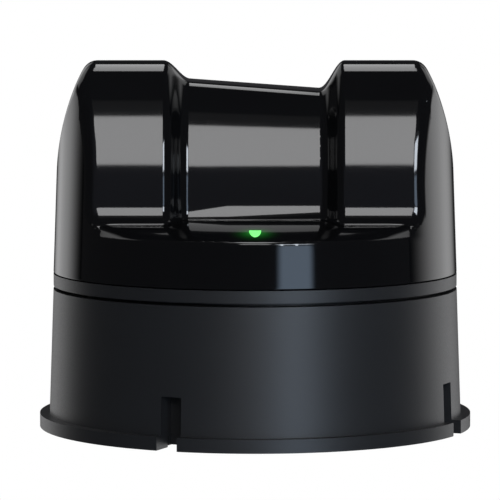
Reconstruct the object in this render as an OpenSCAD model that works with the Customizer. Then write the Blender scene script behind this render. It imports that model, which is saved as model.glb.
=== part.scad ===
// Compact rotating lidar scanner module.
// The glossy head carries the optics and spins on two small ball bearings.
// The fixed base holds the motor stator, the power coil, the board and the mounting points.
// Units are millimetres. The origin is the centre of the resting face, +Z is up
// and the optical windows face -Y.

/* [Base] */
// Diameter of the foot flange
flange_d = 55.5; // [54:0.5:60]
// Thickness of the foot flange
flange_h = 1.7; // [1.4:0.1:1.9]
// Diameter of the base wall just above the flange
foot_d = 53; // [52.6:0.1:53.4]
// Height of the fixed base, up to the running gap
base_h = 17.7; // [17.6:0.05:17.8]
// Width of the keying slots in the foot
slot_w = 2.7; // [1.5:0.1:3.5]
// Height of the keying slots
slot_h = 6.5; // [4:0.5:8]
// Direction of the first keying slot, the others follow every quarter turn
slot_az = 247; // [240:1:252]
// Centre distance of the mounting threads, on a square
mount_pitch = 28; // [27.5:0.1:28.5]
// Tapping radius of the mounting threads
mount_r = 1.05; // [0.8:0.05:1.2]

/* [Head] */
// Overall height of the module
overall_h = 47.2; // [46.4:0.1:47.5]
// Diameter of the head where it meets the base
head_d = 51.84; // [51.6:0.02:52]
// Width of the running gap between base and head
gap_h = 0.45; // [0.3:0.05:0.6]
// Visible height of the matte ring under the cap
ring_h = 1.55; // [1.3:0.05:1.7]
// Wall thickness of the cap
cap_wall = 1.5; // [1.2:0.1:1.6]
// Distance of the window towers' faces from the axis
tower_front = 15; // [14.6:0.1:15.4]
// Inner edge of each window tower
tower_in = 11.4; // [11:0.1:12]
// Half width of the recessed middle window
middle_half = 8.3; // [8:0.1:8.6]
// Depth of the middle window behind the tower faces
middle_depth = 2.4; // [2:0.1:2.8]
// Height of the saddle between the towers, left end
saddle_left = 44.85; // [43.8:0.05:45.2]
// Height of the saddle between the towers, right end
saddle_right = 43.65; // [42.8:0.05:44]

/* [Motor] */
// Number of stator teeth
teeth = 9; // [6:3:12]
// Number of rotor magnets
magnets = 12; // [8:2:16]
// Number of encoder teeth
encoder_teeth = 24; // [12:2:36]
// Number of balls in each bearing
balls = 7; // [6:1:8]

/* [Hidden] */

$fn = 64;
eps = 0.01;
far = 60;

// Colours
black_matte = "#1c1d20";
black_gloss = "#0a0a0c";
steel = "#b9bcc0";
copper = "#b8703a";
board_green = "#16452c";
chip_black = "#232326";
ferrite_grey = "#3b3b3f";
brass = "#c9a24a";

// Radii, from the axis outwards
shaft_r = 2;
light_bore_r = 0.9;
bearing_r = 4;
holder_r = 5;
stator_r = 10.6;
magnet_r = 10.95;
yoke_in_r = 12.1;
yoke_r = 13;
yoke_screw_r = 9;
holder_flange_r = 8.2;
holder_screw_r = 6.7;
board_screw_r = 12;
head_board_screw_r = 14;
head_board_r = 17.6;
base_board_r = 22;
cover_r = 24.1;
insert_r = 1.8;
encoder_in_r = 22.65;
encoder_out_r = 23.05;
coil_in_r = 13.9;
coil_out_r = 18.3;
cover_screw_r = 19.8;
cap_screw_r = 20.3;
skirt_in_r = 22.6;
skirt_r = 23.8;
base_in_r = 24.4;
foot_r = foot_d / 2;
flange_r = flange_d / 2;
head_r = head_d / 2;
base_top_r = head_r + 0.02;

// Heights, from the resting face upwards
cover_z = 0.2;
cover_t = 1.2;
cover_top = cover_z + cover_t;
board_z = 2.4;
board_t = 1;
board_top = board_z + board_t;
deck_z = 5.6;
deck_t = 1.2;
deck_top = deck_z + deck_t;
bearing_h = 3;
low_bearing_z = 4.6;
high_bearing_z = 11;
holder_top = high_bearing_z + bearing_h;
clip_h = 0.4;
shaft_z = low_bearing_z - clip_h;
ring_z = base_h + gap_h;
ring_top = ring_z + ring_h;
cap_z = ring_top + 0.12;
tray_z = 15.4;
tray_t = 1.2;
tray_top = tray_z + tray_t;
spigot_top = ring_top + 1.2;
head_board_z = 20.8;
head_board_top = head_board_z + board_t;
chassis_z = 23.6;
chassis_t = 1.4;
chassis_top = chassis_z + chassis_t;
optic_z = 36;
tower_x = 15.6;
tower_w = 5.6;
optic_back_y = 3;
tower_board_t = 0.9;
shaft_top = 19.4;
yoke_z = 7.6;
yoke_top = 14.4;
encoder_z = 11.4;
ferrite_t = 1.2;
coil_t = 1;
lower_ferrite_z = 9;
upper_coil_z = 12.8;

// Head outline: curved faces, foot flare, shelf and domed back
shoulder_r = 37;
shoulder_x = 25.58;
shoulder_z = 29.5;
shoulder_edge_r = 1.9;
face_r = 32;
face_z = 30.4;
flare_r = 5;
flare_a = 28;
flare_z = 30;
crease_z = 27.65;
shelf_profile = [[-27.5, 24.7], [-25.75, 25.55], [-24, 26.25], [-20.7, 27.18], [-18.3, 27.5]];
rim_z = 25.55;
rim_a = 28;
back_y = -9;
back_z = 24;
back_length = 34.95;
back_fall = 12;
back_lift = 1.2;
top_edge_r = 2.4;
drum_taper = 0.0357;
middle_r = 26;
middle_z = 30.9;

// Small screws: shank radius, head radius, head height
m14 = [0.7, 1.2, 0.6];
m2 = [1, 1.7, 0.8];

function polar(r, a) = [r * cos(a), r * sin(a)];
function arc(c, r, a0, a1, n) =
  [for (i = [0 : n]) c + polar(r, a0 + (a1 - a0) * i / n)];
// Smooth step from p to q, level at both ends
function step_curve(p, q, n) =
  [for (i = [0 : n]) [p.x + (q.x - p.x) * i / n, p.y + (q.y - p.y) * (1 - cos(180 * i / n)) / 2]];

module ring(r_out, r_in, h) {
  difference() {
    cylinder(r = r_out, h = h);
    translate([0, 0, -1]) cylinder(r = r_in, h = h + 2);
  }
}

module around(n, r, start = 0) {
  for (i = [0 : n - 1])
    rotate([0, 0, start + 360 * i / n]) translate([r, 0, 0]) children();
}

module block(low, high) {
  translate(low) cube(high - low);
}

// Screw with its head's underside at z = 0 and its shank pointing up
module screw_up(size, len) {
  translate([0, 0, -size[2]])
    difference() {
      cylinder(r = size[1], h = size[2]);
      translate([0, 0, -1]) cylinder(r = size[0] * 0.8, h = 1 + size[2] / 2, $fn = 6);
    }
  cylinder(r = size[0], h = len);
}

module screw_down(size, len) {
  mirror([0, 0, 1]) screw_up(size, len);
}

// ---- Base ----

module mount_places() {
  around(4, mount_pitch / sqrt(2), 45) children();
}

module cover_screw_places() {
  around(4, cover_screw_r, 20) children();
}

module board_screw_places() {
  around(3, board_screw_r, 90) children();
}

module slots(depth_r) {
  for (i = [0 : 3])
    rotate([0, 0, slot_az + 90 * i])
      block([depth_r, -slot_w / 2, -1], [far, slot_w / 2, slot_h]);
}

module base_housing() {
  color(black_matte) difference() {
    union() {
      rotate_extrude() polygon([
        [base_in_r, 0], [flange_r, 0], [flange_r, flange_h], [foot_r, flange_h],
        [base_top_r, base_h], [base_in_r, base_h]
      ]);
      translate([0, 0, deck_z]) cylinder(r = base_in_r + 0.2, h = deck_t);
      mount_places() translate([0, 0, cover_top]) cylinder(r = 3.1, h = deck_z - cover_top + eps);
      cover_screw_places() translate([0, 0, cover_top]) cylinder(r = 2, h = deck_z - cover_top + eps);
      board_screw_places() translate([0, 0, board_top]) cylinder(r = 1.6, h = deck_z - board_top + eps);
      for (i = [0 : 3])
        rotate([0, 0, slot_az + 90 * i])
          block([22.4, -slot_w / 2 - 1.1, cover_top], [base_in_r + 0.3, slot_w / 2 + 1.1, slot_h + 1]);
    }
    slots(23.4);
    translate([0, 0, -1]) cylinder(r = holder_r, h = far);
    mount_places() translate([0, 0, 1]) cylinder(r = insert_r, h = 4.4);
    cover_screw_places() translate([0, 0, 1]) cylinder(r = 1, h = 4.2);
    board_screw_places() translate([0, 0, 3]) cylinder(r = m14[0], h = 2.4);
    holder_screw_places() translate([0, 0, deck_z - 1]) cylinder(r = m14[0], h = 2);
    connector_window();
  }
}

module connector_window() {
  block([-4.5, 20, 1.75], [4.5, far, 5.65]);
}

module bottom_cover() {
  color(black_matte) difference() {
    translate([0, 0, cover_z]) cylinder(r = cover_r, h = cover_t);
    mount_places() translate([0, 0, -1]) cylinder(r = 2.2, h = 4);
    cover_screw_places() translate([0, 0, -1]) cylinder(r = m2[0] + 0.1, h = 4);
    cover_screw_places() translate([0, 0, -1]) cylinder(r = m2[1] + 0.15, h = 1 + cover_z + m2[2]);
    slots(23.2);
  }
}

module cover_screws() {
  color(steel) cover_screw_places()
    translate([0, 0, cover_z + m2[2]]) screw_up(m2, 3.6);
}

module mounting_inserts() {
  color(brass) mount_places() translate([0, 0, cover_top]) ring(insert_r, mount_r, 4);
}

module base_board() {
  color(board_green) difference() {
    translate([0, 0, board_z]) cylinder(r = base_board_r, h = board_t);
    mount_places() translate([0, 0, 1]) cylinder(r = 3.4, h = 5);
    cover_screw_places() translate([0, 0, 1]) cylinder(r = 2.3, h = 5);
    board_screw_places() translate([0, 0, 1]) cylinder(r = m14[0], h = 5);
    block([-5, 19, 1], [5, 30, 5]);
    for (i = [0 : 3])
      rotate([0, 0, slot_az + 90 * i]) block([21.6, -3, 1], [30, 3, 5]);
  }
}

module base_chips() {
  color(chip_black) {
    block([-16, -4, board_top], [-10, 2, board_top + 1]);
    block([12.6, -4.2, board_top], [16.4, -0.6, board_top + 0.9]);
    block([9.6, 3, board_top], [14, 6, board_top + 1.1]);
  }
}

module base_capacitors() {
  color(steel) for (a = [203, 218, 310, 325])
    translate([polar(15.4, a).x, polar(15.4, a).y, board_top]) cylinder(r = 1.3, h = 1.9);
}

module base_board_screws() {
  color(steel) board_screw_places() translate([0, 0, board_z]) screw_up(m14, 3);
}

pin_count = 5;
pin_pitch = 1.25;
pin_w = 0.4;
module each_pin() {
  for (i = [0 : pin_count - 1])
    translate([(i - (pin_count - 1) / 2) * pin_pitch, 0, 0]) children();
}

module connector_housing() {
  color("#d8d2c2") difference() {
    block([-4.4, 19.4, 1.85], [4.4, 25.6, 5.55]);
    block([-3.6, 21, 2.45], [3.6, 30, 4.95]);
    block([-2.4, 22, 4.8], [2.4, 30, 5.2]);
    each_pin() block([-pin_w / 2, 19, board_top], [pin_w / 2, 22, board_top + pin_w]);
  }
}

module connector_pins() {
  color(brass) each_pin()
    block([-pin_w / 2, 17, board_top], [pin_w / 2, 24.6, board_top + pin_w]);
}

module holder_screw_places() {
  around(3, holder_screw_r, 30) children();
}

module bearing_holder() {
  color(brass) difference() {
    union() {
      translate([0, 0, low_bearing_z]) cylinder(r = holder_r, h = holder_top - low_bearing_z);
      translate([0, 0, low_bearing_z]) cylinder(r = holder_flange_r, h = deck_z - low_bearing_z);
    }
    cylinder(r = 3.4, h = far);
    translate([0, 0, 1]) cylinder(r = bearing_r, h = low_bearing_z + bearing_h + 0.5 - 1);
    translate([0, 0, high_bearing_z]) cylinder(r = bearing_r, h = 10);
    holder_screw_places() translate([0, 0, 1]) cylinder(r = m14[0], h = 10);
  }
}

module holder_screws() {
  color(steel) holder_screw_places() translate([0, 0, low_bearing_z]) screw_up(m14, 1.8);
}

// ---- Motor ----

stator_z = 8.6;
stator_h = 2.8;
module stator_core() {
  color(steel) translate([0, 0, stator_z]) linear_extrude(stator_h) difference() {
    union() {
      circle(r = 6.4);
      around(teeth, 0) translate([5.5, -0.9]) square([4.6, 1.8]);
      around(teeth, 0) polygon(concat(
        arc([0, 0], stator_r, -14, 14, 8), arc([0, 0], 9.8, 14, -14, 8)
      ));
    }
    circle(r = holder_r);
  }
}

module stator_coils() {
  color(copper) around(teeth, 0) difference() {
    block([6.9, -1.55, stator_z - 0.6], [9.3, 1.55, stator_z + stator_h + 0.6]);
    block([6, -0.95, stator_z - 0.05], [10, 0.95, stator_z + stator_h + 0.05]);
  }
}

module yoke_screw_places() {
  around(3, yoke_screw_r, 30) children();
}

module rotor_yoke() {
  color(steel) difference() {
    translate([0, 0, yoke_z]) cylinder(r = yoke_r, h = tray_z - yoke_z);
    cylinder(r = yoke_in_r, h = yoke_top);
    cylinder(r = 5.6, h = far);
    yoke_screw_places() cylinder(r = m14[0], h = far);
  }
}

module magnet_ring() {
  color(ferrite_grey) translate([0, 0, 8]) difference() {
    ring(yoke_in_r, magnet_r, 4.4);
    around(magnets, 0) block([8, -0.08, -1], [15, 0.08, 6]);
  }
}

module yoke_screws() {
  color(steel) yoke_screw_places() translate([0, 0, tray_top]) screw_down(m14, tray_top - yoke_top);
}

module coil_carrier() {
  color(black_matte) translate([0, 0, deck_top]) ring(coil_out_r, coil_in_r, lower_ferrite_z - deck_top);
}

module lower_ferrite() {
  color(ferrite_grey) translate([0, 0, lower_ferrite_z]) ring(coil_out_r, coil_in_r, ferrite_t);
}

module lower_coil() {
  color(copper) translate([0, 0, lower_ferrite_z + ferrite_t])
    ring(coil_out_r - 0.4, coil_in_r + 0.4, coil_t);
}

module upper_coil() {
  color(copper) translate([0, 0, upper_coil_z]) ring(coil_out_r - 0.4, coil_in_r + 0.4, coil_t);
}

module upper_ferrite() {
  ferrite_z = upper_coil_z + coil_t;
  color(ferrite_grey) translate([0, 0, ferrite_z]) ring(coil_out_r, coil_in_r, tray_z - ferrite_z);
}

module encoder_ring() {
  color(steel) translate([0, 0, encoder_z]) difference() {
    ring(encoder_out_r, encoder_in_r, tray_z - encoder_z);
    around(encoder_teeth, 0) block([20, -1.4, -1], [25, 1.4, 2.2]);
  }
}

module index_sensor() {
  color(chip_black) rotate([0, 0, 20]) difference() {
    block([21.5, -1.6, deck_top], [24, 1.6, 13.4]);
    block([22.3, -3, 9], [23.4, 3, 20]);
  }
}

module data_emitter() {
  color("#e6e6e0") block([-0.8, -0.5, board_top], [0.8, 0.5, board_top + 0.4]);
}

module data_detector() {
  color(chip_black) block([-1, -0.8, head_board_z - 0.8], [1, 0.8, head_board_z]);
}

// ---- Bearings ----

pitch_r = 3;
ball_r = 0.55;
race_r = 0.58;
inner_ring_r = 2.6;
outer_ring_r = 3.4;

module race_cut() {
  rotate_extrude() translate([pitch_r, 0]) circle(r = race_r);
}

module outer_ring_at(z) {
  translate([0, 0, z]) difference() {
    ring(bearing_r, outer_ring_r, bearing_h);
    translate([0, 0, bearing_h / 2]) race_cut();
  }
}

module inner_ring_at(z) {
  translate([0, 0, z]) difference() {
    ring(inner_ring_r, shaft_r, bearing_h);
    translate([0, 0, bearing_h / 2]) race_cut();
  }
}

module balls_at(z) {
  translate([0, 0, z + bearing_h / 2]) around(balls, pitch_r) sphere(r = ball_r);
}

module cage_at(z) {
  translate([0, 0, z + bearing_h / 2]) difference() {
    translate([0, 0, -0.8]) ring(pitch_r + 0.2, pitch_r - 0.2, 1.6);
    around(balls, pitch_r) rotate([0, 90, 0]) cylinder(r = ball_r + 0.06, h = 2, center = true);
  }
}

module lower_bearing_outer() { color(steel) outer_ring_at(low_bearing_z); }
module upper_bearing_outer() { color(steel) outer_ring_at(high_bearing_z); }
module lower_bearing_inner() { color(steel) inner_ring_at(low_bearing_z); }
module upper_bearing_inner() { color(steel) inner_ring_at(high_bearing_z); }
module lower_balls() { color(steel) balls_at(low_bearing_z); }
module upper_balls() { color(steel) balls_at(high_bearing_z); }
module lower_cage() { color(brass) cage_at(low_bearing_z); }
module upper_cage() { color(brass) cage_at(high_bearing_z); }

module preload_spring() {
  color(steel) translate([0, 0, low_bearing_z + bearing_h]) ring(3.9, 3.5, 0.5);
}

module retaining_clip() {
  color(steel) translate([0, 0, shaft_z]) difference() {
    ring(3, shaft_r, clip_h);
    block([0, -0.6, -1], [5, 0.6, 2]);
  }
}

module shaft() {
  color(steel) translate([0, 0, shaft_z]) ring(shaft_r, light_bore_r, shaft_top - shaft_z);
}

// ---- Rotor ----

module cap_screw_places() {
  around(4, cap_screw_r, 45) children();
}

module head_board_screw_places() {
  around(4, head_board_screw_r) children();
}

module rotor_tray() {
  color(black_matte) difference() {
    union() {
      rotate_extrude() polygon([
        [0, tray_z], [skirt_r, tray_z], [skirt_r, ring_z], [head_r, ring_z], [head_r, ring_top],
        [24.1, ring_top], [24.1, spigot_top], [skirt_in_r, spigot_top], [skirt_in_r, tray_top],
        [0, tray_top]
      ]);
      translate([0, 0, tray_top - eps]) cylinder(r = 4.5, h = shaft_top - tray_top + eps);
      head_board_screw_places() translate([0, 0, tray_top - eps])
        cylinder(r = 1.8, h = head_board_z - tray_top + eps);
    }
    translate([0, 0, tray_z - 1]) cylinder(r = shaft_r, h = far);
    head_board_screw_places() translate([0, 0, tray_top + 0.6]) cylinder(r = m14[0], h = far);
    cap_screw_places() translate([0, 0, tray_z - 1]) cylinder(r = m14[0] + 0.1, h = far);
    yoke_screw_places() translate([0, 0, tray_z - 1]) cylinder(r = m14[0], h = far);
  }
}

// Outline of the head seen from the side, drawn as [y, z] and set in by t
module side_outline(t) {
  top_a = asin((overall_h - top_edge_r - face_z) / (face_r - top_edge_r));
  edge_y = -tower_front + face_r - (face_r - top_edge_r) * cos(top_a);
  edge_r = max(top_edge_r - t, 0.3);
  crease_y = -tower_front - flare_r + flare_r * cos(flare_a);
  polygon(concat(
    [[shelf_profile[0].x, cap_z - 5]],
    [for (p = shelf_profile) p - [0, t]],
    [[crease_y + t / 2, crease_z - t]],
    arc([-tower_front - flare_r, flare_z], flare_r + t, -flare_a, 0, 6),
    arc([-tower_front + face_r, face_z], face_r - t, 180, 180 - top_a, 10),
    arc([edge_y, overall_h - top_edge_r], edge_r, 180 - top_a, 90, 5),
    [for (a = [88 : -4 : 0])
      [back_y + (back_length - t) * cos(a), back_z + (overall_h - t - back_z) * sin(a)]],
    [[back_y + back_length - t, cap_z - 5]]
  ));
}

// Outline of the head seen from the front, drawn as [x, z] and set in by t
module front_outline(t) {
  top_a = asin((overall_h - shoulder_edge_r - shoulder_z) / (shoulder_r - shoulder_edge_r));
  edge_x = shoulder_x - shoulder_r + (shoulder_r - shoulder_edge_r) * cos(top_a);
  edge_r = max(shoulder_edge_r - t, 0.3);
  half = concat(
    [[far, cap_z - 5], [far, 22], [shoulder_x + 1 - t, 22]],
    arc([shoulder_x - shoulder_r, shoulder_z], shoulder_r - t, 0, top_a, 10),
    arc([edge_x, overall_h - shoulder_edge_r], edge_r, top_a, 90, 5)
  );
  last = len(half) - 1;
  polygon(concat(half, [for (i = [0 : last]) [-half[last - i].x, half[last - i].y]]));
}

// Saddle between the towers, cut from above, its walls reaching lift above the towers
module saddle(t, lift) {
  left = -middle_half - t;
  right = middle_half + t;
  rise = tower_in - middle_half;
  top = overall_h + lift - t;
  rotate([90, 0, 0]) linear_extrude(2 * far, center = true) polygon(concat(
    [[left - rise, far]],
    step_curve([left - rise, top], [left, saddle_left - t], 8),
    step_curve([right, saddle_right - t], [right + rise, top], 8),
    [[right + rise, far]]
  ));
}

// Recess in front of the middle window, cut from the front
module window_recess(t) {
  rise = tower_in - middle_half;
  intersection() {
    translate([0, -tower_front + middle_depth + t, middle_z - 5])
      rotate([-9, 0, 0]) linear_extrude(30) polygon(concat(
        [[-middle_half - t - rise, -far]],
        step_curve([-middle_half - t - rise, -middle_depth], [-middle_half - t, 0.9], 6),
        step_curve([middle_half + t, 0.9], [middle_half + t + rise, -middle_depth], 6),
        [[middle_half + t + rise, -far]]
      ));
    rotate([90, 0, 90]) linear_extrude(2 * far, center = true) polygon(concat(
      [[-far, crease_z - t + 0.02], [-tower_front + middle_depth + t - 1, crease_z - t + 0.02]],
      arc([-tower_front + middle_depth + middle_r, middle_z], middle_r - t, 180, 180 - 38, 10),
      [[-tower_front + middle_depth + t + 8, far], [-far, far]]
    ));
  }
}

// Takes the shelf down to one height all along its rim
module rim_cut(t) {
  rim_r = head_r - t - 0.2;
  run = 1 / tan(rim_a);
  difference() {
    block([-far, -far, rim_z - t - 0.3], [far, -tower_front - 0.6, rim_z - t + 2.4]);
    translate([0, 0, rim_z - t - 1]) cylinder(r1 = rim_r + run, r2 = rim_r - 3 * run, h = 4);
  }
}

module head_form(t) {
  drum_r = head_r + 0.14;
  drum_h = overall_h - cap_z + 8;
  difference() {
    intersection() {
      translate([0, 0, cap_z - 4])
        cylinder(r1 = drum_r - t, r2 = drum_r - t - drum_taper * drum_h, h = drum_h);
      rotate([90, 0, 0]) linear_extrude(2 * far, center = true) front_outline(t);
      rotate([90, 0, 90]) linear_extrude(2 * far, center = true) side_outline(t);
    }
    saddle(t, eps);
    translate([0, back_y, saddle_left]) rotate([-back_fall, 0, 0]) translate([0, -back_y, -saddle_left])
      saddle(t, back_lift);
    window_recess(t);
    rim_cut(t);
  }
}

module cap() {
  color(black_gloss) difference() {
    union() {
      difference() {
        head_form(0);
        head_form(cap_wall);
      }
      intersection() {
        head_form(0.5);
        cap_screw_places() union() {
          cylinder(r = 2.2, h = 25.4);
          block([0, -1, spigot_top + 0.2], [5, 1, 25.4]);
        }
      }
    }
    block([-far, -far, -far], [far, far, tray_top]);
    difference() {
      block([-far, -far, 0], [far, far, cap_z]);
      cap_screw_places() cylinder(r = 2.2, h = far);
    }
    cap_screw_places() cylinder(r = m14[0], h = 22);
    light_pipe_form(0.02);
  }
}

module cap_screws() {
  color(steel) cap_screw_places() translate([0, 0, tray_z]) screw_up(m14, 5.4);
}

module head_board() {
  color(board_green) difference() {
    translate([0, 0, head_board_z]) cylinder(r = head_board_r, h = board_t);
    head_board_screw_places() cylinder(r = m14[0], h = far);
    chassis_feet() cylinder(r = m14[0], h = far);
  }
}

module head_board_screws() {
  color(steel) head_board_screw_places() translate([0, 0, head_board_top]) screw_down(m14, 3.4);
}

module head_chips() {
  color(chip_black) {
    block([-4, -3.4, head_board_top], [3, 3.4, head_board_top + 1.1]);
    block([5, 4, head_board_top], [8, 7, head_board_top + 0.9]);
    block([-7.4, 4.4, head_board_top], [-4.6, 7, head_board_top + 0.8]);
    block([-4, -12.4, head_board_top], [-1.6, -10, head_board_top + 0.8]);
  }
}

// ---- Status light ----

light_y = -20.9;
light_half = 0.82;
light_len = 2.9;
light_z = 22.6;
module status_led() {
  color("#d9f7d2") block([-0.8, -17.2, head_board_top], [0.8, -16.4, head_board_top + 0.7]);
}

// D-shaped window flush with the shelf, its round end to the front
module light_pipe_form(extra) {
  intersection() {
    translate([0, light_y, light_z]) linear_extrude(10) intersection() {
      scale([light_half + extra, light_len + extra]) circle(r = 1);
      translate([-2, extra - 6]) square([4, 6]);
    }
    rotate([90, 0, 90]) linear_extrude(4, center = true) polygon([
      [-26, light_z - 1], [shelf_profile[2].x, shelf_profile[2].y + extra],
      [shelf_profile[3].x, shelf_profile[3].y + extra], [shelf_profile[3].x, light_z - 1]
    ]);
  }
}

module light_pipe() {
  color("#7dff7d") union() {
    light_pipe_form(0);
    block([-0.6, light_y - 0.6, light_z], [0.6, -16.2, light_z + 1]);
  }
}

// ---- Optics ----

module chassis_feet() {
  for (x = [-9, 9])
    for (y = [-7, 1])
      translate([x, y, 0]) children();
}

module tower_block(low_z, high_z, front_y, back_end_y) {
  block([-tower_w / 2, front_y, low_z], [tower_w / 2, back_end_y, high_z]);
}

module optics_chassis() {
  color("#5c5f63") difference() {
    union() {
      block([-18.2, -9.4, chassis_z], [18.2, 3, chassis_top]);
      chassis_feet() translate([0, 0, head_board_top]) cylinder(r = 1.6, h = 2);
      translate([-tower_x, 0, 0]) tower_block(chassis_z, 41, -6, optic_back_y);
      translate([tower_x, 0, 0]) tower_block(chassis_z, 42.4, -6, optic_back_y);
    }
    translate([-tower_x, -20, optic_z]) rotate([-90, 0, 0]) cylinder(r = 2.2, h = 40);
    block([tower_x - 2.2, -20, optic_z - 5.6], [tower_x + 2.2, 20, optic_z + 5.6]);
    chassis_feet() cylinder(r = m14[0], h = 24.6);
  }
}

module chassis_screws() {
  color(steel) chassis_feet() translate([0, 0, head_board_z]) screw_up(m14, 3.6);
}

// Turns a shape that grows along +Z so that it grows along -Y from the given place
module facing_front(place) {
  translate(place) rotate([90, 0, 0]) children();
}

module emitter_barrel() {
  color(brass) facing_front([-tower_x, -2.4, optic_z]) ring(2.2, 1.8, 8.4);
}

module emitter_lens() {
  color("#bcd4e6") facing_front([-tower_x, -8.6, optic_z]) intersection() {
    cylinder(r = 1.8, h = 3);
    translate([0, 0, -2.4]) sphere(r = 4);
    translate([0, 0, -0.2]) cylinder(r = 4, h = 4);
  }
}

module laser_diode() {
  color(steel) facing_front([-tower_x, optic_back_y, optic_z]) union() {
    cylinder(r = 2.1, h = 0.9);
    cylinder(r = 1.5, h = 3.4);
  }
}

module emitter_board() {
  color(board_green) translate([-tower_x, 0, 0])
    tower_block(29, 41, optic_back_y, optic_back_y + tower_board_t);
}

module receiver_hood() {
  color(black_matte) difference() {
    block([tower_x - 2.2, -11, optic_z - 5.6], [tower_x + 2.2, 0, optic_z + 5.6]);
    block([tower_x - 1.8, -12, optic_z - 5.2], [tower_x + 1.8, 1, optic_z + 5.2]);
  }
}

module receiver_lens() {
  color("#c9c2e0") intersection() {
    block([tower_x - 1.8, -10.2, optic_z - 5.2], [tower_x + 1.8, -7, optic_z + 5.2]);
    facing_front([tower_x, 0.4, optic_z]) sphere(r = 10.4);
  }
}

module receiver_filter() {
  color("#7a2b4d") block([tower_x - 1.8, -3.2, optic_z - 3], [tower_x + 1.8, -2.5, optic_z + 3]);
}

module detector_chip() {
  color(chip_black) block([tower_x - 1.4, 1.8, optic_z - 1.4], [tower_x + 1.4, 3, optic_z + 1.4]);
}

module receiver_board() {
  color(board_green) translate([tower_x, 0, 0])
    tower_block(29, 42.4, optic_back_y, optic_back_y + tower_board_t);
}

module light_baffle() {
  color(black_matte) block([-0.5, -7.4, chassis_top], [0.5, optic_back_y, 39.4]);
}

module ribbon_cables() {
  color("#c98a2b") for (side = [-1, 1])
    translate([side * 15.2, 0, 0]) block([-1.4, 3.9, head_board_top], [1.4, 4.1, 32]);
}

module balance_weight() {
  color(steel) intersection() {
    translate([0, 0, head_board_top]) ring(17, 12.4, 3.2);
    block([-9, 8.6, 0], [9, far, far]);
    difference() {
      block([-far, -far, 0], [far, far, far]);
      translate([0, 14, 0]) cylinder(r = 1.5, h = far);
    }
  }
}

base_housing();
bottom_cover();
cover_screws();
mounting_inserts();
base_board();
base_chips();
base_capacitors();
base_board_screws();
connector_housing();
connector_pins();
bearing_holder();
holder_screws();
stator_core();
stator_coils();
lower_bearing_outer();
upper_bearing_outer();
preload_spring();
coil_carrier();
lower_ferrite();
lower_coil();
data_emitter();
index_sensor();
lower_balls();
upper_balls();
lower_cage();
upper_cage();
rotor_tray();
shaft();
lower_bearing_inner();
upper_bearing_inner();
retaining_clip();
rotor_yoke();
magnet_ring();
yoke_screws();
upper_ferrite();
upper_coil();
encoder_ring();
cap();
cap_screws();
head_board();
head_board_screws();
head_chips();
data_detector();
status_led();
light_pipe();
optics_chassis();
chassis_screws();
emitter_barrel();
emitter_lens();
laser_diode();
emitter_board();
receiver_hood();
receiver_lens();
receiver_filter();
detector_chip();
receiver_board();
light_baffle();
ribbon_cables();
balance_weight();
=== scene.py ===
"""Looks of the rotating lidar scanner module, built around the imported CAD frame."""

import math

import bpy
import numpy as np
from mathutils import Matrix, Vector


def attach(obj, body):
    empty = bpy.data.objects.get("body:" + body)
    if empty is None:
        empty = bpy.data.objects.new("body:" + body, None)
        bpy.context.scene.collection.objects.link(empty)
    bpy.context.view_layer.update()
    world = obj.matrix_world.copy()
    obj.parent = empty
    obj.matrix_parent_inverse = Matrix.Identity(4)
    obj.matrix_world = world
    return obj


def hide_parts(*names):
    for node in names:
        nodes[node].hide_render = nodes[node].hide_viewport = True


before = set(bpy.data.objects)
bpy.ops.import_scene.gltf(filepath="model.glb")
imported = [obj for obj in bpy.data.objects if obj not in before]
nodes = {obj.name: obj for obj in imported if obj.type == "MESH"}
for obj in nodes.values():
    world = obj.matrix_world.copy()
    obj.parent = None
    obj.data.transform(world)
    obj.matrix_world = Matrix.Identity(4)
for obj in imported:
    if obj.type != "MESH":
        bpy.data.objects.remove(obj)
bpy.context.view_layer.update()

MM = 0.001
LIGHT_AT = (0.0, -22.3, 26.6)  # middle of the green light window, in millimetres
PAINTED_GLOW_R = 4.2  # how far its painted green glow reaches over the gloss black
PAINTED_LIGHT_TURN = (-0.93, -0.985)  # the painted light that makes the window faces lighter comes in between these normals
PAINTED_LIGHT_FOOT = (27.6, 28.4)  # and between these heights


# ---------------------------------------------------------------- materials


class Nodes:
    """Small helper that builds a material's node tree."""

    def __init__(self, name):
        self.mat = bpy.data.materials.new(name)
        self.mat.use_nodes = True
        self.tree = self.mat.node_tree
        self.tree.nodes.clear()
        self.out = self.add("ShaderNodeOutputMaterial")

    def add(self, kind, **settings):
        node = self.tree.nodes.new(kind)
        for key, value in settings.items():
            setattr(node, key, value)
        return node

    def link(self, a, b):
        self.tree.links.new(a, b)

    def noise(self, vector, scale, detail=4.0, roughness=0.5):
        node = self.add("ShaderNodeTexNoise")
        node.inputs["Scale"].default_value = scale
        node.inputs["Detail"].default_value = detail
        node.inputs["Roughness"].default_value = roughness
        self.link(vector, node.inputs["Vector"])
        return node.outputs["Fac"]

    def remap(self, value, low, high, to_low, to_high, smooth=False):
        node = self.add("ShaderNodeMapRange")
        if smooth:
            node.interpolation_type = "SMOOTHSTEP"
        limits = {"From Min": low, "From Max": high, "To Min": to_low, "To Max": to_high}
        for key, number in limits.items():
            node.inputs[key].default_value = number
        self.link(value, node.inputs["Value"])
        return node.outputs["Result"]

    def mix(self, factor, low, high):
        node = self.add("ShaderNodeMix", data_type="RGBA")
        node.inputs["A"].default_value = (*low, 1)
        node.inputs["B"].default_value = (*high, 1)
        self.link(factor, node.inputs["Factor"])
        return node.outputs["Result"]

    def math(self, operation, a, b):
        node = self.add("ShaderNodeMath", operation=operation)
        for socket, value in zip(node.inputs, (a, b)):
            if isinstance(value, (int, float)):
                socket.default_value = value
            else:
                self.link(value, socket)
        return node.outputs["Value"]

    def bump(self, height, distance, strength):
        node = self.add("ShaderNodeBump")
        node.inputs["Distance"].default_value = distance
        node.inputs["Strength"].default_value = strength
        self.link(height, node.inputs["Height"])
        return node.outputs["Normal"]


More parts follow.
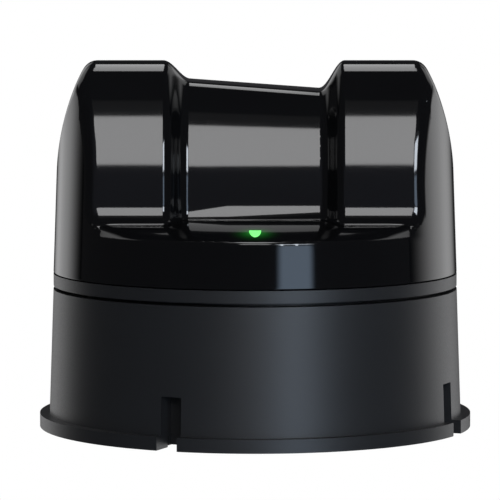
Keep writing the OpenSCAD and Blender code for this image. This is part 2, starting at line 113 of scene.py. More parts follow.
def surface(name, low, high, rough, grain, grain_depth, metallic=0.0, **sockets):
    """A moulded or machined surface: patchy colour, uneven roughness and a fine grain in the bump."""
    n = Nodes(name)
    coords = n.add("ShaderNodeTexCoord").outputs["Object"]
    shader = n.add("ShaderNodeBsdfPrincipled")
    patches = n.noise(coords, 180.0, 3.0)
    fine = n.noise(coords, grain, 2.0, 0.6)
    n.link(n.mix(n.remap(patches, 0.3, 0.7, 0, 1), low, high), shader.inputs["Base Color"])
    n.link(n.remap(fine, 0.25, 0.75, rough[0], rough[1]), shader.inputs["Roughness"])
    if grain_depth:
        n.link(n.bump(fine, grain_depth, 0.6), shader.inputs["Normal"])
    shader.inputs["Metallic"].default_value = metallic
    for key, value in sockets.items():
        shader.inputs[key.replace("_", " ")].default_value = value
    n.link(shader.outputs["BSDF"], n.out.inputs["Surface"])
    return n.mat


def gloss_black():
    """High-gloss infrared-passing moulding: near mirror finish, slightly wavy, with faint hairlines."""
    n = Nodes("black_gloss")
    coords = n.add("ShaderNodeTexCoord").outputs["Object"]
    shader = n.add("ShaderNodeBsdfPrincipled")
    cloud = n.noise(coords, 90.0, 2.0)
    # painted light: the upright window faces, which face the front, are painted lighter than the rest
    place = n.add("ShaderNodeSeparateXYZ")
    n.link(coords, place.inputs["Vector"])
    facing = n.add("ShaderNodeSeparateXYZ")
    n.link(n.add("ShaderNodeTexCoord").outputs["Normal"], facing.inputs["Vector"])
    front = n.remap(facing.outputs["Y"], *PAINTED_LIGHT_TURN, 0, 1, smooth=True)
    high = n.remap(place.outputs["Z"], PAINTED_LIGHT_FOOT[0] * MM, PAINTED_LIGHT_FOOT[1] * MM, 0, 1)
    # painted light, added to the base colour of the front-facing window faces
    window = n.mix(n.math("MULTIPLY", front, high), (0.0, 0.0, 0.0), (0.0070, 0.0068, 0.0076))
    colour_and_painted_light = n.add("ShaderNodeMix", data_type="RGBA", blend_type="ADD")
    colour_and_painted_light.inputs["Factor"].default_value = 1
    n.link(n.mix(cloud, (0.0030, 0.0030, 0.0034), (0.0048, 0.0048, 0.0054)), colour_and_painted_light.inputs["A"])
    n.link(window, colour_and_painted_light.inputs["B"])
    n.link(colour_and_painted_light.outputs["Result"], shader.inputs["Base Color"])
    stretch = n.add("ShaderNodeMapping")
    stretch.inputs["Scale"].default_value = (1, 1, 14)
    n.link(coords, stretch.inputs["Vector"])
    hair = n.noise(stretch.outputs["Vector"], 420.0, 5.0, 0.7)
    n.link(n.remap(hair, 0.35, 0.75, 0.055, 0.085), shader.inputs["Roughness"])
    wave = n.noise(coords, 60.0, 1.0)
    n.link(n.bump(wave, 0.000004, 0.35), shader.inputs["Normal"])
    # painted glow: green emission painted into the gloss black round the light window
    away = n.add("ShaderNodeVectorMath", operation="DISTANCE")
    n.link(coords, away.inputs[0])
    away.inputs[1].default_value = [c * MM for c in LIGHT_AT]
    painted_glow_falloff = n.math("POWER", n.remap(away.outputs["Value"], 0, PAINTED_GLOW_R * MM, 1, 0), 4)
    glow = n.math("MULTIPLY", painted_glow_falloff, n.remap(cloud, 0.3, 0.7, 0.50, 0.60))
    n.link(glow, shader.inputs["Emission Strength"])
    shader.inputs["Emission Color"].default_value = (0.03, 0.55, 0.05, 1)
    shader.inputs["IOR"].default_value = 1.55
    n.link(shader.outputs["BSDF"], n.out.inputs["Surface"])
    return n.mat


def matte_black():
    """Spark-eroded black moulding: a fine pebble grain that softens every reflection."""
    n = Nodes("black_matte")
    coords = n.add("ShaderNodeTexCoord").outputs["Object"]
    shader = n.add("ShaderNodeBsdfPrincipled")
    cloud = n.noise(coords, 140.0, 3.0)
    grain = n.noise(coords, 5200.0, 3.0, 0.65)
    n.link(n.mix(cloud, (0.0165, 0.0168, 0.0180), (0.0215, 0.0220, 0.0236)), shader.inputs["Base Color"])
    n.link(n.remap(grain, 0.3, 0.7, 0.35, 0.46), shader.inputs["Roughness"])
    n.link(n.bump(grain, 0.000012, 0.5), shader.inputs["Normal"])
    shader.inputs["IOR"].default_value = 1.5
    n.link(shader.outputs["BSDF"], n.out.inputs["Surface"])
    return n.mat


def lit_green():
    """Light pipe end: frosted green plastic glowing from inside."""
    n = Nodes("light_green")
    coords = n.add("ShaderNodeTexCoord").outputs["Object"]
    shader = n.add("ShaderNodeBsdfPrincipled")
    frost = n.noise(coords, 2400.0, 3.0)
    n.link(n.mix(frost, (0.10, 0.75, 0.12), (0.20, 0.95, 0.22)), shader.inputs["Base Color"])
    n.link(n.remap(frost, 0.3, 0.7, 0.25, 0.4), shader.inputs["Roughness"])
    n.link(n.mix(frost, (0.16, 1.0, 0.17), (0.26, 1.0, 0.26)), shader.inputs["Emission Color"])
    shader.inputs["Emission Strength"].default_value = 1.0
    n.link(shader.outputs["BSDF"], n.out.inputs["Surface"])
    return n.mat


def clear_lens(name, tint):
    """Moulded optical plastic with a dark infrared-passing tint."""
    return surface(name, tint, [c * 1.3 for c in tint], (0.03, 0.08), 900.0, 0, IOR=1.52, Coat_Weight=0.4)


def circuit_green():
    """Solder-masked board: green mask with darker and lighter copper areas under it."""
    n = Nodes("circuit_board")
    coords = n.add("ShaderNodeTexCoord").outputs["Object"]
    shader = n.add("ShaderNodeBsdfPrincipled")
    brick = n.add("ShaderNodeTexBrick")
    brick.inputs["Scale"].default_value = 420.0
    brick.inputs["Color1"].default_value = (0.006, 0.075, 0.026, 1)
    brick.inputs["Color2"].default_value = (0.010, 0.110, 0.040, 1)
    brick.inputs["Mortar"].default_value = (0.020, 0.190, 0.070, 1)
    brick.inputs["Mortar Size"].default_value = 0.03
    n.link(coords, brick.inputs["Vector"])
    n.link(brick.outputs["Color"], shader.inputs["Base Color"])
    weave = n.noise(coords, 2600.0, 2.0)
    n.link(n.remap(weave, 0.3, 0.7, 0.28, 0.42), shader.inputs["Roughness"])
    n.link(n.bump(weave, 0.00001, 0.4), shader.inputs["Normal"])
    n.link(shader.outputs["BSDF"], n.out.inputs["Surface"])
    return n.mat


def wound_copper():
    """Enamelled copper winding: fine bands of wire."""
    n = Nodes("copper_wire")
    coords = n.add("ShaderNodeTexCoord").outputs["Object"]
    shader = n.add("ShaderNodeBsdfPrincipled")
    bands = n.add("ShaderNodeTexWave", bands_direction="Z")
    bands.inputs["Scale"].default_value = 900.0
    bands.inputs["Distortion"].default_value = 0.6
    n.link(coords, bands.inputs["Vector"])
    tone = n.mix(bands.outputs["Fac"], (0.30, 0.10, 0.035), (0.62, 0.25, 0.10))
    n.link(tone, shader.inputs["Base Color"])
    n.link(n.remap(bands.outputs["Fac"], 0, 1, 0.42, 0.24), shader.inputs["Roughness"])
    n.link(n.bump(bands.outputs["Fac"], 0.00003, 0.7), shader.inputs["Normal"])
    shader.inputs["Metallic"].default_value = 0.85
    n.link(shader.outputs["BSDF"], n.out.inputs["Surface"])
    return n.mat


# low colour, high colour, roughness range, grain scale and grain depth of the plain surfaces
SURFACES = {
    "ferrite": ((0.026, 0.026, 0.029), (0.052, 0.052, 0.056), (0.55, 0.75), 1800.0, 0.00002),
    "chip_black": ((0.012, 0.012, 0.013), (0.024, 0.024, 0.026), (0.45, 0.65), 3000.0, 0.00001),
    "ivory_plastic": ((0.60, 0.55, 0.44), (0.70, 0.65, 0.54), (0.32, 0.48), 1500.0, 0.00001),
    "led_white": ((0.70, 0.78, 0.68), (0.82, 0.88, 0.80), (0.2, 0.35), 1800.0, 0.000006),
    "flex_amber": ((0.34, 0.13, 0.02), (0.46, 0.20, 0.04), (0.25, 0.4), 1500.0, 0.000006),
}
METALS = {
    "steel": ((0.46, 0.47, 0.49), (0.62, 0.63, 0.65), (0.18, 0.34), 2600.0, 0.000004),
    "brass": ((0.55, 0.39, 0.14), (0.70, 0.52, 0.22), (0.20, 0.36), 2600.0, 0.000004),
    "alloy": ((0.40, 0.41, 0.42), (0.52, 0.53, 0.54), (0.30, 0.48), 2000.0, 0.00001),
}

materials = {
    "black_matte": matte_black(),
    "black_gloss": gloss_black(),
    "copper_wire": wound_copper(),
    "circuit_board": circuit_green(),
    "light_green": lit_green(),
    "lens_glass": clear_lens("lens_glass", (0.020, 0.010, 0.016)),
    "filter_glass": clear_lens("filter_glass", (0.050, 0.006, 0.012)),
}
materials.update({name: surface(name, *values) for name, values in SURFACES.items()})
materials.update({name: surface(name, *values, metallic=1.0) for name, values in METALS.items()})

SLOTS = {
    "black_matte": "base_housing bottom_cover coil_carrier rotor_tray receiver_hood light_baffle",
    "black_gloss": "cap",
    "steel": "cover_screws base_capacitors base_board_screws holder_screws stator_core "
    "lower_bearing_outer upper_bearing_outer preload_spring lower_balls upper_balls shaft "
    "lower_bearing_inner upper_bearing_inner retaining_clip rotor_yoke encoder_ring yoke_screws "
    "cap_screws head_board_screws chassis_screws laser_diode balance_weight",
    "brass": "mounting_inserts connector_pins bearing_holder lower_cage upper_cage emitter_barrel",
    "alloy": "optics_chassis",
    "copper_wire": "stator_coils lower_coil upper_coil",
    "ferrite": "lower_ferrite upper_ferrite magnet_ring",
    "circuit_board": "base_board head_board emitter_board receiver_board",
    "chip_black": "base_chips index_sensor head_chips data_detector detector_chip",
    "ivory_plastic": "connector_housing",
    "led_white": "status_led data_emitter",
    "light_green": "light_pipe",
    "lens_glass": "emitter_lens receiver_lens",
    "filter_glass": "receiver_filter",
    "flex_amber": "ribbon_cables",
}
for slot, names in SLOTS.items():
    for name in names.split():
        mesh = nodes[name].data
        mesh.materials.clear()
        mesh.materials.append(materials[slot])


# ---------------------------------------------------------------- the cap's form, in millimetres

CUT_Z = 19.82  # the seam between the cap and the ring under it
TOP_Z = 47.2
WALL = 1.5
SEAM_R = 0.15  # the lip at the seam
CELL = 0.3  # of the grid that the mesh is made on
REACH = 27.0  # half the grid's width

# drum, with a slight lean inwards just below the shelf's rim
DRUM_R, DRUM_TAPER, DRUM_FOOT_Z = 25.92, 0.0357, 19.8
LEAN_Z, LEAN_R, LEAN_HEIGHT = 24.7, 8.6, 0.9
LEAN_FROM, LEAN_FULL = 14, 17  # how far forward it comes in

# window faces: an arc above, upright below it, then a flare at the foot
TOWER_Y, MIDDLE_Y = -15.0, -12.6
FLARE_ANGLE = math.radians(28)
TOWER_FACE_R, TOWER_FACE_Z = 32.0, 30.4
TOWER_FLARE_R, TOWER_FLARE_Z = 4.9, 29.73
TOWER_FLARE_END = (19.4, 21.2)  # it fades out towards the sides
MIDDLE_FACE_R, MIDDLE_FACE_Z = (27, -2.7), (30.7, 0.4)  # at the left, and the change to the right
MIDDLE_FLARE_X = (-8.3, -3.5, 8.0)
MIDDLE_FLARE_R, MIDDLE_FLARE_Z = (3.4, 6.7, 4.0), (28.85, 30.0, 29.66)
LEFT_WALL, RIGHT_WALL = (8.3, 11.6), (8.1, 11.3)  # saddle side, tower side

# top: a long ellipse, lower in the saddle
SADDLE_Z, SADDLE_SLOPE = 44.12, 0.0724
SADDLE_BACK = 5.0  # how far the saddle's ridge lies behind the towers'
DOME_Y, DOME_Z, DOME_LENGTH = -9.0, 24.0, 34.95

# shoulders, left and right alike
SHOULDER_X, SHOULDER_Z, SHOULDER_R = 25.58, 29.5, 37.0
SHOULDER_SPREAD = 0.04  # slope below them

# shelf, from its crease at the windows' foot to its rim
TOWER_CREASE_Z, MIDDLE_CREASE_Z, RIM_Z = 26.85, 27.4, 25.55
TOWER_CREASE_Y, MIDDLE_CREASE_BACK = -15.6, 2.0
RIM_R, RIM_X = 25.7, 21
SHELF_LEVEL = 0.08  # the share of it that is level
SHELF_SHORTEST, SHELF_PAST_RIM = 1.4, 1.3
SHELF_BACK_Y, SHELF_BACK_R = -8, 0.5

# roundings: between the front and the top, at the shoulders, at the windows' foot and at the drum
TOP_EDGE_R, TOP_EDGE_LESS = 4.2, 2.45  # less in the saddle
SHOULDER_EDGE_R, SHOULDER_EDGE_LESS = 2.1, 0.6  # less at the front's upper corners
CORNER_Z, CORNER_Y = (43, 45), (-12.8, -9.5)
CREASE_R, CREASE_LESS = 0.9, 0.65  # less in the middle
RIM_EDGE_R, DRUM_EDGE_MORE = 0.3, 1.7  # more away from the shelf's rim
DRUM_EDGE_Z, DRUM_EDGE_Y = (26.2, 28.6), (-12, -4)
DRUM_EDGE_GROWTH, GROWTH_Z = 0.003, 30

# light window: half its width, its length, its straight back edge, and the arm under it
WINDOW_HALF, WINDOW_LENGTH, WINDOW_BACK_Y, STEM_Z = 0.74, 2.5, -21.3, 22.6
WINDOW_RINGS = ((1.0, 0.0), (0.93, 0.05), (0.7, 0.08), (0.35, 0.10))  # share of the outline, lift
WINDOW_LIFT = 0.10
ARM = ((-0.6, 0.6), (-21.5, -16.2), (22.6, 23.6))


def step(value, low, high):
    """0 below low, 1 above high, with a cosine curve between."""
    t = np.clip((value - low) / (high - low), 0, 1)
    return 0.5 - 0.5 * np.cos(np.pi * t)


def field(d, gx, gy, gz):
    """A distance and its unit gradient, stacked."""
    g = np.stack(np.broadcast_arrays(d, gx, gy, gz))
    return g / np.sqrt((g[1:] ** 2).sum(0))


def meet(a, b, r):
    """The space inside both fields, its edge rounded to radius r whatever the angle between them."""
    c = np.clip((a[1:] * b[1:]).sum(0), -0.9999, 0.9999)
    da, db = a[0] + r, b[0] + r
    alpha = (da - db * c) / (1 - c * c)
    beta = (db - da * c) / (1 - c * c)
    edge = (alpha > 0) & (beta > 0)
    far = np.sqrt(np.maximum(alpha * da + beta * db, 1e-12))
    out = np.where(a[0] > b[0], a, b)
    out[0] = np.where(edge, far - r, out[0])
    out[1:] = np.where(edge, (alpha * a[1:] + beta * b[1:]) / far, out[1:])
    return out


def join(a, b, r):
    """The space inside either field, with a fillet of radius r where they meet."""
    return -meet(-a, -b, r)


def foot(z, y0, face_r, face_z, flare_r, flare_z, flare):
    """How far forward a window face stands at height z: arc above, upright, then a flare at its foot."""
    up = np.clip(z - face_z, 0, face_r * 0.9)
    arc = face_r - np.sqrt(face_r**2 - up**2)
    down = np.clip(flare_z - z, 0, None)
    bend = flare_r * np.sin(FLARE_ANGLE)
    curve = flare_r - np.sqrt(flare_r**2 - np.minimum(down, bend) ** 2)
    straight = np.maximum(down - bend, 0) * math.tan(FLARE_ANGLE)
    return y0 + arc - flare * (curve + straight)


def middle_share(x):
    """1 across the recessed middle window, 0 across the towers."""
    near, away = (np.where(x < 0, a, b) for a, b in zip(LEFT_WALL, RIGHT_WALL))
    return 1 - step(np.abs(x), near, away)


def shelf_z(x, y):
    """Height of the shelf: level at the windows' foot, then falling to the rim."""
    crease_y = TOWER_CREASE_Y + MIDDLE_CREASE_BACK * middle_share(x)
    rim_y = -np.sqrt(RIM_R**2 - np.minimum(np.abs(x), RIM_X) ** 2)
    share = (crease_y - y) / np.maximum(crease_y - rim_y, SHELF_SHORTEST)
    crease_z = TOWER_CREASE_Z + (MIDDLE_CREASE_Z - TOWER_CREASE_Z) * middle_share(x)
    fall = np.clip((share - SHELF_LEVEL) / (1 - SHELF_LEVEL), 0, SHELF_PAST_RIM)
    return crease_z - (crease_z - RIM_Z) * fall**2


def front_y(x, z):
    """Where the front stands: the towers' faces, and the middle window's between them."""
    middle = middle_share(x)
    side = np.clip((x + LEFT_WALL[0]) / (LEFT_WALL[0] + RIGHT_WALL[0]), 0, 1)
    fade = 1 - step(np.abs(x), *TOWER_FLARE_END)
    tower = foot(z, TOWER_Y, TOWER_FACE_R, TOWER_FACE_Z, TOWER_FLARE_R, TOWER_FLARE_Z, fade)
    face_r, face_z = (at_left + change * side for at_left, change in (MIDDLE_FACE_R, MIDDLE_FACE_Z))
    flare_r = np.interp(x, MIDDLE_FLARE_X, MIDDLE_FLARE_R)
    flare_z = np.interp(x, MIDDLE_FLARE_X, MIDDLE_FLARE_Z)
    window = foot(z, MIDDLE_Y, face_r, face_z, flare_r, flare_z, 1.0)
    return tower + (window - tower) * middle


def crown(x):
    """Height of the top above DOME_Z: high over the towers, a sloping saddle between them."""
    saddle = SADDLE_Z - SADDLE_SLOPE * x
    return TOP_Z + (saddle - TOP_Z) * middle_share(x) - DOME_Z


def cap_field(x, y, z):
    """Distance to the cap's outer surface and its gradient."""
    h = 0.01
    zero = np.zeros_like(x)
    # window faces
    yf = front_y(x, z)
    front = field(
        yf - y,
        (front_y(x + h, z) - front_y(x - h, z)) / (2 * h),
        zero - 1,
        (front_y(x, z + h) - front_y(x, z - h)) / (2 * h),
    )
    # top with its saddle, falling to the back as a long ellipse
    rise = crown(x)
    middle = middle_share(x)
    length_y = DOME_LENGTH - SADDLE_BACK * middle
    behind = y - DOME_Y - SADDLE_BACK * middle
    way = np.where(behind > 0, 1.0, -middle)
    u, w = behind * way / length_y, np.maximum(z - DOME_Z, 0) / rise
    size = np.maximum(np.hypot(u, w), 1e-3)
    slope_x = (crown(x + h) - crown(x - h)) / (2 * h)
    grad = np.stack([-w * w * slope_x / rise, u * way / length_y, w / rise]) / size
    steep = np.maximum(np.sqrt((grad**2).sum(0)), 1e-3)
    top = np.concatenate([((size - 1) / steep)[None], grad / steep])
    # rounded shoulders, left and right alike
    side = np.where(x < 0, -1.0, 1.0)
    sx, sz = np.abs(x) - SHOULDER_X + SHOULDER_R, np.maximum(z - SHOULDER_Z, 0)
    spread = SHOULDER_SPREAD * np.maximum(SHOULDER_Z - z, 0)
    length = np.hypot(sx, sz)
    shoulder = np.stack([length - SHOULDER_R - spread, side * sx / length, zero, sz / length])
    # shelf under the windows
    shelf = field(
        z - shelf_z(x, y),
        (shelf_z(x - h, y) - shelf_z(x + h, y)) / (2 * h),
        (shelf_z(x, y - h) - shelf_z(x, y + h)) / (2 * h),
        zero + 1,
    )
    shelf = meet(shelf, np.stack([y - SHELF_BACK_Y, zero, zero + 1, zero]), SHELF_BACK_R)
    # drum, leaning in a little just below the shelf's rim
    rho = np.maximum(np.hypot(x, y), 1e-6)
    lean = np.clip(z - LEAN_Z, 0, LEAN_HEIGHT) * step(-y, LEAN_FROM, LEAN_FULL)
    radius = DRUM_R - DRUM_TAPER * (z - DRUM_FOOT_Z) - lean**2 / (2 * LEAN_R)
    drum = field(rho - radius, x / rho, y / rho, DRUM_TAPER + lean / LEAN_R)

    form = meet(front, top, TOP_EDGE_R - TOP_EDGE_LESS * middle)
    corner = step(z, *CORNER_Z) * (1 - step(y, *CORNER_Y))
    form = meet(form, shoulder, SHOULDER_EDGE_R - SHOULDER_EDGE_LESS * corner)
    form = join(form, shelf, CREASE_R - CREASE_LESS * middle)
    # the edge is crisp only at the shelf's rim
    off_rim = np.maximum(step(z, *DRUM_EDGE_Z), step(y, *DRUM_EDGE_Y))
    growth = DRUM_EDGE_GROWTH * np.maximum(z - GROWTH_Z, 0) ** 2
    return meet(form, drum, RIM_EDGE_R + DRUM_EDGE_MORE * off_rim + growth)


def pull(points, level, rounds):
    """Moves points along the gradient on to the given level of the cap's field."""
    for _ in range(rounds):
        f = cap_field(*points.T)
        points = points - np.clip(f[0] - level, -0.3, 0.3)[:, None] * f[1:].T
    return points


def exact_normals(points):
    """Unit normals of the field by central differences."""
    h = 0.004
    grad = np.stack(
        [cap_field(*(points + e).T)[0] - cap_field(*(points - e).T)[0] for e in np.eye(3) * h], axis=1
    )
    return grad / np.linalg.norm(grad, axis=1, keepdims=True)


def net(values, low, cell):
    """Surface net: a point in every cell the surface crosses, a quad round every crossed grid edge."""
    inside = values < 0
    nx, ny, nz = (s - 1 for s in values.shape)
    shifts = [(i, j, k) for i in (0, 1) for j in (0, 1) for k in (0, 1)]
    view = {s: (slice(s[0], s[0] + nx), slice(s[1], s[1] + ny), slice(s[2], s[2] + nz)) for s in shifts}
    count = sum(inside[view[s]].astype(np.int8) for s in shifts)
    mixed = (count > 0) & (count < 8)
    where = np.argwhere(mixed)
    index = np.full(mixed.shape, -1)
    index[mixed] = np.arange(len(where))
    total, hits = np.zeros((len(where), 3)), np.zeros(len(where))
    for a in shifts:
        for axis in range(3):
            if a[axis]:
                continue
            b = tuple(1 if i == axis else a[i] for i in range(3))
            va, vb = values[view[a]][mixed], values[view[b]][mixed]
            crossed = (va < 0) != (vb < 0)
            t = va / np.where(crossed, va - vb, 1)
            place = np.tile(np.array(a, float), (len(where), 1))
            place[:, axis] += t
            total += np.where(crossed[:, None], place, 0)
            hits += crossed
    points = low + (where + total / hits[:, None]) * cell
    quads = []
    for axis in range(3):
        u, v = (axis + 1) % 3, (axis + 2) % 3
        first = [slice(None)] * 3
        second = [slice(None)] * 3
        first[axis], second[axis] = slice(0, -1), slice(1, None)
        a, b = inside[tuple(first)], inside[tuple(second)]
        for flip, edges in ((False, np.argwhere(a & ~b)), (True, np.argwhere(~a & b))):
            edges = edges[(edges[:, u] > 0) & (edges[:, v] > 0)]
            edges = edges[(edges[:, u] < mixed.shape[u]) & (edges[:, v] < mixed.shape[v])]
            ring = []
            for du, dv in ((-1, -1), (0, -1), (0, 0), (-1, 0)):
                cell_at = edges.copy()
                cell_at[:, u] += du
                cell_at[:, v] += dv
                ring.append(index[tuple(cell_at.T)])
            ring = np.stack(ring, axis=1)
            quads.append(ring[:, ::-1] if flip else ring)
    return points, np.concatenate(quads)


def even_out(points, quads, fixed, rounds):
    """Moves each free point to the middle of its neighbours and back on to the surface."""
    pairs = np.concatenate([quads[:, [i, (i + 1) % 4]] for i in range(4)])
    pairs = np.concatenate([pairs, pairs[:, ::-1]])
    for _ in range(rounds):
        total = np.zeros_like(points)
        np.add.at(total, pairs[:, 0], points[pairs[:, 1]])
        count = np.bincount(pairs[:, 0], minlength=len(points))[:, None]
        moved = points * 0.4 + total / count * 0.6
        moved[fixed] = points[fixed]
        points = pull(moved, 0, 2)
        points[fixed] = moved[fixed]
    return points


def build_cap():
    """Points, normals and faces of the cap: outer wall, inner wall and the lip that joins them."""
    low = np.array([-REACH, -REACH, CUT_Z + SEAM_R - CELL / 2])
    across = int(2 * REACH / CELL) + 2
    sizes = [across, across, int((TOP_Z + 1 - low[2]) / CELL) + 2]
    axes = [low[i] + np.arange(sizes[i]) * CELL for i in range(3)]
    x, y, z = (a.ravel() for a in np.meshgrid(*axes, indexing="ij"))
    values = np.empty(len(x))
    chunks = 12  # keeps the arrays small
    for part in np.array_split(np.arange(len(x)), chunks):
        values[part] = cap_field(x[part], y[part], np.maximum(z[part], CUT_Z + 2 * CELL))[0]
    points, quads = net(values.reshape(sizes), low, CELL)
    points = pull(points, 0, 4)

    # the open edge becomes a true circle
    edges = np.concatenate([quads[:, [i, (i + 1) % 4]] for i in range(4)])
    key = np.sort(edges, axis=1) @ np.array([len(points), 1])
    _, inverse, count = np.unique(key, return_inverse=True, return_counts=True)
    rim = edges[count[inverse] == 1]
    rim_points = np.unique(rim)
    seam_r = DRUM_R - DRUM_TAPER * (CUT_Z + SEAM_R - DRUM_FOOT_Z)
    angle = np.arctan2(points[rim_points, 1], points[rim_points, 0])
    points[rim_points] = np.stack(
        [seam_r * np.cos(angle), seam_r * np.sin(angle), np.full(len(angle), CUT_Z + SEAM_R)], axis=1
    )
    points = even_out(points, quads, rim_points, 3)
    normals = exact_normals(points)
    radial = np.stack([np.cos(angle), np.sin(angle), np.zeros(len(angle))], axis=1)
    normals[rim_points] = radial

    # the inner wall starts at the outer one and sinks in small steps
    inner = points.copy()
    sinks = 8
    for i in range(1, sinks + 1):
        inner = pull(inner, -WALL * i / sinks, 1)
    inner = pull(inner, -WALL, 2)
    inner[rim_points, :2] = radial[:, :2] * (seam_r - WALL)
    inner[rim_points, 2] = CUT_Z + SEAM_R
    inner_normals = -exact_normals(inner)
    inner_normals[rim_points] = -radial

    all_points, all_normals = [points, inner], [normals, inner_normals]
    faces = [quads, quads[:, ::-1] + len(points)]
    place = np.zeros(len(points), int)
    place[rim_points] = np.arange(len(rim_points))
    ring_start = [None]
    total = 2 * len(points)
    # round lip at the seam, from outside to inside
    profile = [
        (a, seam_r - SEAM_R + SEAM_R * math.cos(a), CUT_Z + SEAM_R - SEAM_R * math.sin(a))
        for a in (math.radians(30), math.radians(60), math.radians(90))
    ]
    profile.append((math.radians(90), seam_r - WALL, CUT_Z))
    for a, r, height in profile:
        ring = np.stack([radial[:, 0] * r, radial[:, 1] * r, np.full(len(angle), height)], axis=1)
        normal = radial * math.cos(a)
        normal[:, 2] = -math.sin(a)
        all_points.append(ring)
        all_normals.append(normal)
        ring_start.append(total)
        total += len(ring)
    ring_start.append(None)
    for upper, lower in zip(ring_start, ring_start[1:]):
        a = rim if upper is None else place[rim] + upper
        b = rim + len(points) if lower is None else place[rim] + lower
        faces.append(np.stack([a[:, 1], a[:, 0], b[:, 0], b[:, 1]], axis=1))
    return np.concatenate(all_points), np.concatenate(all_normals), np.concatenate(faces)


def mesh_object(name, points, faces, normals=None):
    """A smooth-shaded object from points in millimetres."""
    mesh = bpy.data.meshes.new(name)
    mesh.from_pydata((points * MM).tolist(), [], [tuple(f) for f in faces])
    mesh.validate()
    mesh.polygons.foreach_set("use_smooth", [True] * len(mesh.polygons))
    if normals is not None:
        mesh.normals_split_custom_set_from_vertices(normals.tolist())
    made = bpy.data.objects.new(name, mesh)
    bpy.context.scene.collection.objects.link(made)
    return made


def finish_piece(piece, body, slot, replaced):
    """Gives a piece its material and its body, and hides the CAD node that it stands for."""
    piece.data.materials.append(materials[slot])
    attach(piece, body)
    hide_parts(replaced)


def build_light():
    """D-shaped window in the shelf, its stem and the arm that leads to the light source."""
    half, length, back = WINDOW_HALF, WINDOW_LENGTH, WINDOW_BACK_Y
    turns = [math.pi * i / 24 for i in range(25)]
    outline = [(half * math.cos(a), back - length * math.sin(a)) for a in turns]
    outline += [(half * (i / 4 - 1), back) for i in range(1, 8)]
    outline.reverse()  # counter-clockwise seen from above
    middle = (0.0, back - 0.42 * length)

    def on_shelf(x, y, lift):
        return (x, y, float(shelf_z(np.array(x), np.array(y))) + lift)

    points, faces = [(x, y, STEM_Z) for x, y in outline], []
    for share, lift in WINDOW_RINGS:
        points += [
            on_shelf(middle[0] + (x - middle[0]) * share, middle[1] + (y - middle[1]) * share, lift)
            for x, y in outline
        ]
    count = len(outline)
    for ring in range(len(WINDOW_RINGS)):
        for i in range(count):
            a, b = ring * count + i, ring * count + (i + 1) % count
            faces.append((a, b, b + count, a + count))
    last = len(points) - count
    points.append(on_shelf(*middle, WINDOW_LIFT))
    for i in range(count):
        faces.append((last + i, last + (i + 1) % count, len(points) - 1))
    faces.append(tuple(range(count))[::-1])
    arm = len(points)
    points += [(x, y, z) for x in ARM[0] for y in ARM[1] for z in ARM[2]]
    box = ((0, 1, 3, 2), (4, 6, 7, 5), (0, 4, 5, 1), (2, 3, 7, 6), (0, 2, 6, 4), (1, 5, 7, 3))
    faces += [tuple(arm + corner for corner in face) for face in box]
    return np.array(points), faces


cap_points, cap_normals, cap_faces = build_cap()
cap = mesh_object("cap_shell", cap_points, cap_faces, cap_normals)
finish_piece(cap, "head", "black_gloss", "cap")

light_points, light_faces = build_light()
light = mesh_object("light_window", light_points, light_faces)
light.data.set_sharp_from_angle(angle=math.radians(40))
finish_piece(light, "head", "light_green", "light_pipe")


# ---------------------------------------------------------------- floor, light and camera


FAR = 2.0  # distance of the panels, in metres
AIM_AT = Vector((0, 0, 25 * MM))
NEUTRAL = (1.0, 1.0, 1.01)
BLUISH = (0.78, 1.0, 1.30)
COOL = (0.92, 1.0, 1.10)
# azimuth from the front (right positive), elevation, width and height in degrees, strength, colour,
# share of the half width and of the half height over which it fades, and how much of that stays bright
PANELS = {
    "soft_left": (-143, 8, 55, 70, 1.05, NEUTRAL, 0.8, 0.3, 0),
    "soft_right": (131, 8, 68, 70, 1.3, NEUTRAL, 0.9, 0.3, 0),
    "soft_left_high": (-118, 36, 56, 36, 0.9, NEUTRAL, 0.6, 0.4, 0),
    "soft_right_high": (118, 36, 56, 36, 0.9, NEUTRAL, 0.6, 0.4, 0),
    "soft_strip_low": (22.5, -14, 24, 40, 2.0, BLUISH, 0.42, 0.05, 0),
    "soft_strip": (22.5, 14.2, 24, 14, 12.0, COOL, 0.42, 0.15, 0),
    "soft_front": (0, 22.4, 18, 24, 4.9, NEUTRAL, 0.5, 0.25, 0.6),
    "soft_veil": (0, 38, 20, 8, 0.13, NEUTRAL, 0.1, 0.3, 0),
    "soft_over": (0, 102, 11, 40, 4.0, NEUTRAL, 0.5, 0.2, 0.3),
}


def panel_light(name, half_w, half_h, strength, colour, soft_w, soft_h, core):
    """Emission that fades towards the panel's edges, which also rounds its corners."""
    n = Nodes(name)
    coords = n.add("ShaderNodeSeparateXYZ")
    n.link(n.add("ShaderNodeTexCoord").outputs["Object"], coords.inputs["Vector"])
    fades = []
    for socket, half, share in (("X", half_w, soft_w), ("Y", half_h, soft_h)):
        across = n.math("ABSOLUTE", coords.outputs[socket], 0)
        fades.append(n.math("POWER", n.remap(across, half * (1 - share), half, 0, 1), 2))
    outward = n.math("POWER", n.math("ADD", fades[0], fades[1]), 0.5)
    emission = n.add("ShaderNodeEmission")
    emission.inputs["Color"].default_value = (*colour, 1)
    n.link(n.remap(outward, core, 1, strength, 0, smooth=True), emission.inputs["Strength"])
    n.link(emission.outputs["Emission"], n.out.inputs["Surface"])
    return n.mat


def stage_sheet(name, half_w, half_h, material):
    """A flat rectangle of the studio, not part of the object."""
    corners = [(-half_w, -half_h, 0), (half_w, -half_h, 0), (half_w, half_h, 0), (-half_w, half_h, 0)]
    mesh = bpy.data.meshes.new(name)
    mesh.from_pydata(corners, [], [(0, 1, 2, 3)])
    mesh.materials.append(material)
    sheet = bpy.data.objects.new(name, mesh)
    bpy.context.scene.collection.objects.link(sheet)
    return sheet


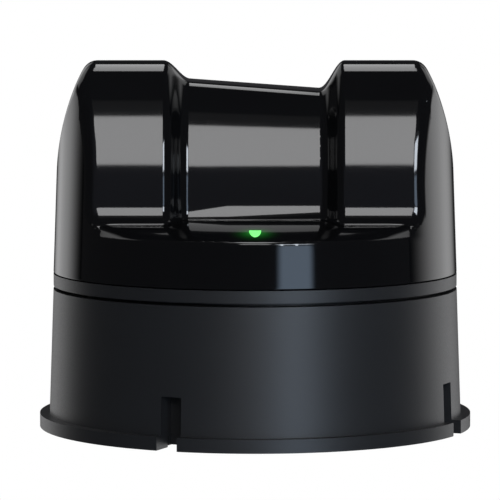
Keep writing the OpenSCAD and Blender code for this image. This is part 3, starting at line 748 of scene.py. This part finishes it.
def softbox(name, azimuth, elevation, width, height, *light):
    """A soft panel far from the object, facing it, that the camera doesn't see."""
    half_w, half_h = (FAR * math.tan(math.radians(angle / 2)) for angle in (width, height))
    panel = stage_sheet(name, half_w, half_h, panel_light(name, half_w, half_h, *light))
    az, el = math.radians(azimuth), math.radians(elevation)
    away = Vector((math.sin(az) * math.cos(el), -math.cos(az) * math.cos(el), math.sin(el)))
    panel.location = away * FAR + AIM_AT
    panel.rotation_euler = away.to_track_quat("Z", "Y").to_euler()
    panel.visible_camera = False
    panel.visible_shadow = False


for name, values in PANELS.items():
    softbox(name, *values)

WORLD_LIGHT = (0.040, 0.040, 0.043, 1)  # what the object reflects between the panels
world = bpy.data.worlds.new("studio")
bpy.context.scene.world = world
world.use_nodes = True
sky = world.node_tree
sky.nodes.clear()
seen = sky.nodes.new("ShaderNodeBackground")
seen.inputs["Color"].default_value = (1, 1, 1, 1)
around = sky.nodes.new("ShaderNodeBackground")
around.inputs["Color"].default_value = WORLD_LIGHT
chooser = sky.nodes.new("ShaderNodeMixShader")
path = sky.nodes.new("ShaderNodeLightPath")
sky_out = sky.nodes.new("ShaderNodeOutputWorld")
sky.links.new(path.outputs["Is Camera Ray"], chooser.inputs[0])
sky.links.new(around.outputs[0], chooser.inputs[1])
sky.links.new(seen.outputs[0], chooser.inputs[2])
sky.links.new(chooser.outputs[0], sky_out.inputs["Surface"])


def floor_material():
    """Plain white sweep."""
    n = Nodes("studio_floor")
    white = n.add("ShaderNodeEmission")
    white.inputs["Color"].default_value = (1, 1, 1, 1)
    n.link(white.outputs["Emission"], n.out.inputs["Surface"])
    return n.mat


FLOOR_HALF, FLOOR_Z = 3.0, -0.0002  # in metres, just under the foot
floor = stage_sheet("floor", FLOOR_HALF, FLOOR_HALF, floor_material())
floor.location.z = FLOOR_Z
# only the camera sees it, so the object's gloss stays free of it
for ray in ("diffuse", "glossy", "transmission", "volume_scatter", "shadow"):
    setattr(floor, "visible_" + ray, False)

CAMERA_AT = Vector((0, -464.9 * MM, 62.5 * MM))
CAMERA_AIM = Vector((0, 0, 22.51 * MM))
lens = bpy.data.cameras.new("camera")
lens.lens = 261.0
lens.sensor_width = 36.0
lens.shift_x = -0.01024
lens.clip_start = 0.01
camera = bpy.data.objects.new("camera", lens)
bpy.context.scene.collection.objects.link(camera)
camera.location = CAMERA_AT
camera.rotation_euler = (CAMERA_AIM - CAMERA_AT).to_track_quat("-Z", "Y").to_euler()
bpy.context.scene.camera = camera
bpy.context.scene.view_settings.view_transform = "Standard"
